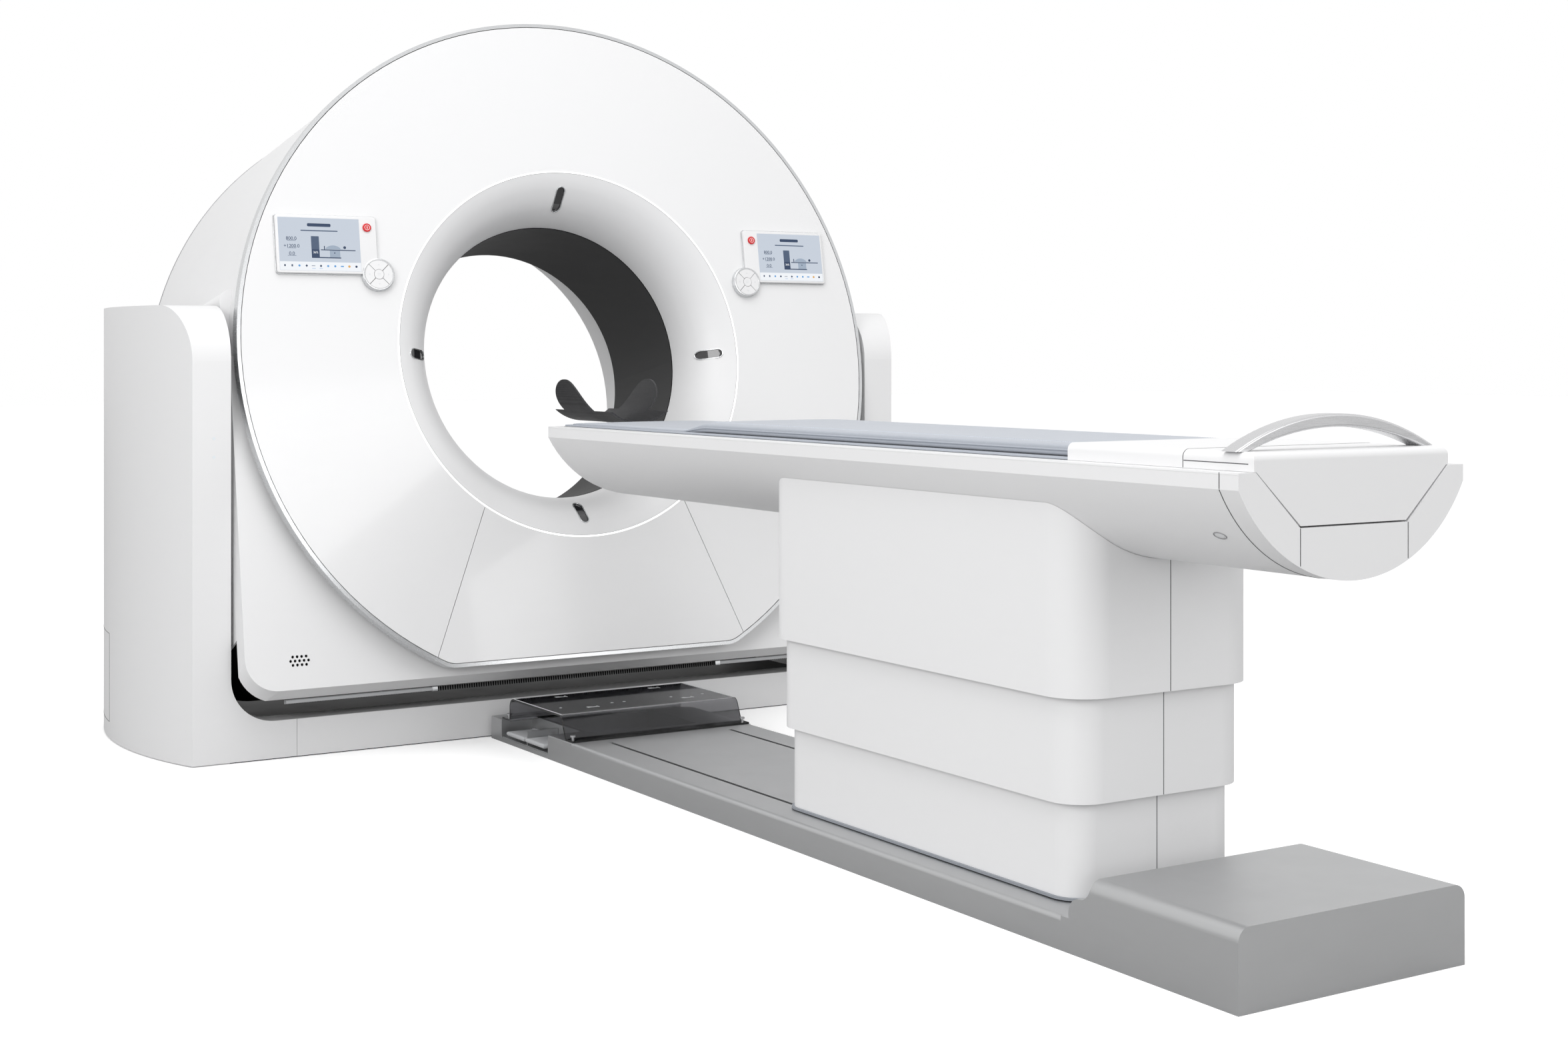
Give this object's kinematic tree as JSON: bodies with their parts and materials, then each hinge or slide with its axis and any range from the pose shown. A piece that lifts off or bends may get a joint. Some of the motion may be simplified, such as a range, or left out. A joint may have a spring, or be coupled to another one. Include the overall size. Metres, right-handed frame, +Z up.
{
  "type": "ct scanner",
  "caption": "Medical CT scanner: tilting ring gantry with a rotating X-ray unit in a U-shaped stand, and a patient table that lifts, slides and travels on a floor rail.",
  "frame": {"origin": "on the floor below the middle of the bore's front end", "axes": "+X to the right seen from the table, +Y from the table to the gantry, +Z up"},
  "size_m": [2.3756, 4.2165, 2.0758],
  "materials": {
    "white_cover": "smooth white moulded cover",
    "grey_plastic": "satin grey plastic",
    "black_cover": "matt black plastic",
    "carbon": "woven carbon under clear coat",
    "silver_trim": "satin anodised",
    "rail_metal": "bead-blasted anodised",
    "steel": "powder coated",
    "machined_steel": "machined",
    "light_ring": "lit diffuser",
    "dark_glass": "dark window",
    "smoked_plastic": "smoked transparent sheet",
    "screen": "lit display",
    "red_button": "glossy red",
    "key": "satin white",
    "mattress": "coated cloth over foam",
    "handle_metal": "satin polished"
  },
  "bodies": {
    "stand": {"crossbar_cover": "white_cover", "left_pillar_cover": "white_cover", "right_pillar_cover": "white_cover", "steel_base": "steel", "trunnion_bearings": "machined_steel", "base_rail": "rail_metal", "carriage_guides": "machined_steel", "rail_front_block": "rail_metal", "rail_end_box": "rail_metal", "smoked_hood": "smoked_plastic", "hood_thumbscrews": "machined_steel", "pedal_bracket": "rail_metal"},
    "gantry": {"front_cover": "white_cover", "service_cover": "white_cover", "trim_ring": "silver_trim", "led_ring": "light_ring", "front_funnel": "white_cover", "laser_windows": "dark_glass", "bore_liner": "carbon", "upper_shroud": "white_cover", "lower_cover": "white_cover", "belly_cover": "black_cover", "rear_cover": "white_cover", "control_panels": "white_cover", "screens": "screen", "tilt_frame": "steel", "bearing_outer_race": "machined_steel"},
    "rotor": {"rotor_drum": "rail_metal", "xray_tube": "steel", "detector_arc": "steel", "high_voltage_tanks": "steel", "slip_ring": "machined_steel"},
    "front_pedal": {"front_pedal": "grey_plastic"},
    "rear_pedal": {"rear_pedal": "grey_plastic"},
    "carriage": {"pedestal_carriage": "steel", "pedestal_lower_cover": "white_cover"},
    "lift_stage": {"pedestal_middle_cover": "white_cover", "lift_column_middle": "steel"},
    "table": {"pedestal_upper_cover": "white_cover", "lift_column_top": "steel", "table_tub": "white_cover", "table_end_cap": "white_cover"},
    "cradle": {"cradle": "carbon", "cradle_end_panel": "white_cover", "mattress": "mattress", "head_holder": "carbon", "console_cover": "white_cover", "carry_handle": "handle_metal"},
    "left_stop_button": {"left_stop_button": "red_button"},
    "right_stop_button": {"right_stop_button": "red_button"},
    "left_centre_key": {"left_centre_key": "key"},
    "left_up_key": {"left_up_key": "key"},
    "left_right_key": {"left_right_key": "key"},
    "left_down_key": {"left_down_key": "key"},
    "left_left_key": {"left_left_key": "key"},
    "right_centre_key": {"right_centre_key": "key"},
    "right_up_key": {"right_up_key": "key"},
    "right_right_key": {"right_right_key": "key"},
    "right_down_key": {"right_down_key": "key"},
    "right_left_key": {"right_left_key": "key"}
  },
  "joints": [
    {"name": "gantry_tilt", "type": "hinge", "parent": "stand", "child": "gantry", "pos_m": [0, 0.394, 1.033], "axis": [-1, 0, 0], "range_deg": [-31.6, 12.4]},
    {"name": "rotor_spin", "type": "hinge", "parent": "gantry", "child": "rotor", "pos_m": [0, 0.394, 1.033], "axis": [0, 0.986, -0.1668], "continuous": true},
    {"name": "front_pedal_press", "type": "hinge", "parent": "stand", "child": "front_pedal", "pos_m": [-0.196, -0.198, 0.03], "axis": [0, -1, 0], "range_deg": [0, 5], "stiffness_Nm_per_rad": 12, "springref_deg": -6.88},
    {"name": "rear_pedal_press", "type": "hinge", "parent": "stand", "child": "rear_pedal", "pos_m": [-0.196, -0.326, 0.03], "axis": [0, -1, 0], "range_deg": [0, 5], "stiffness_Nm_per_rad": 12, "springref_deg": -6.88},
    {"name": "pedestal_travel", "type": "slide", "parent": "stand", "child": "carriage", "axis": [0, 1, 0], "range_m": [0, 0.8]},
    {"name": "lift_lower_stage", "type": "slide", "parent": "carriage", "child": "lift_stage", "axis": [0, 0, 1], "range_m": [-0.13, 0.03]},
    {"name": "lift_upper_stage", "type": "slide", "parent": "lift_stage", "child": "table", "axis": [0, 0, 1], "range_m": [-0.13, 0.03]},
    {"name": "cradle_slide", "type": "slide", "parent": "table", "child": "cradle", "axis": [0, 1, 0], "range_m": [0, 1.6]},
    {"name": "left_stop_button_press", "type": "slide", "parent": "gantry", "child": "left_stop_button", "axis": [0, 0.986, -0.1668], "range_m": [0, 0.002], "stiffness_N_per_m": 900, "springref_m": -0.002},
    {"name": "right_stop_button_press", "type": "slide", "parent": "gantry", "child": "right_stop_button", "axis": [0, 0.986, -0.1668], "range_m": [0, 0.002], "stiffness_N_per_m": 900, "springref_m": -0.002},
    {"name": "left_centre_key_press", "type": "slide", "parent": "gantry", "child": "left_centre_key", "axis": [0, 0.986, -0.1668], "range_m": [0, 0.001], "stiffness_N_per_m": 700, "springref_m": -0.001},
    {"name": "left_up_key_press", "type": "slide", "parent": "gantry", "child": "left_up_key", "axis": [0, 0.986, -0.1668], "range_m": [0, 0.001], "stiffness_N_per_m": 700, "springref_m": -0.001},
    {"name": "left_right_key_press", "type": "slide", "parent": "gantry", "child": "left_right_key", "axis": [0, 0.986, -0.1668], "range_m": [0, 0.001], "stiffness_N_per_m": 700, "springref_m": -0.001},
    {"name": "left_down_key_press", "type": "slide", "parent": "gantry", "child": "left_down_key", "axis": [0, 0.986, -0.1668], "range_m": [0, 0.001], "stiffness_N_per_m": 700, "springref_m": -0.001},
    {"name": "left_left_key_press", "type": "slide", "parent": "gantry", "child": "left_left_key", "axis": [0, 0.986, -0.1668], "range_m": [0, 0.001], "stiffness_N_per_m": 700, "springref_m": -0.001},
    {"name": "right_centre_key_press", "type": "slide", "parent": "gantry", "child": "right_centre_key", "axis": [0, 0.986, -0.1668], "range_m": [0, 0.001], "stiffness_N_per_m": 700, "springref_m": -0.001},
    {"name": "right_up_key_press", "type": "slide", "parent": "gantry", "child": "right_up_key", "axis": [0, 0.986, -0.1668], "range_m": [0, 0.001], "stiffness_N_per_m": 700, "springref_m": -0.001},
    {"name": "right_right_key_press", "type": "slide", "parent": "gantry", "child": "right_right_key", "axis": [0, 0.986, -0.1668], "range_m": [0, 0.001], "stiffness_N_per_m": 700, "springref_m": -0.001},
    {"name": "right_down_key_press", "type": "slide", "parent": "gantry", "child": "right_down_key", "axis": [0, 0.986, -0.1668], "range_m": [0, 0.001], "stiffness_N_per_m": 700, "springref_m": -0.001},
    {"name": "right_left_key_press", "type": "slide", "parent": "gantry", "child": "right_left_key", "axis": [0, 0.986, -0.1668], "range_m": [0, 0.001], "stiffness_N_per_m": 700, "springref_m": -0.001}
  ],
  "couplings": [
    {"joint": "lift_upper_stage", "follows": "lift_lower_stage", "ratio": 1}
  ]
}
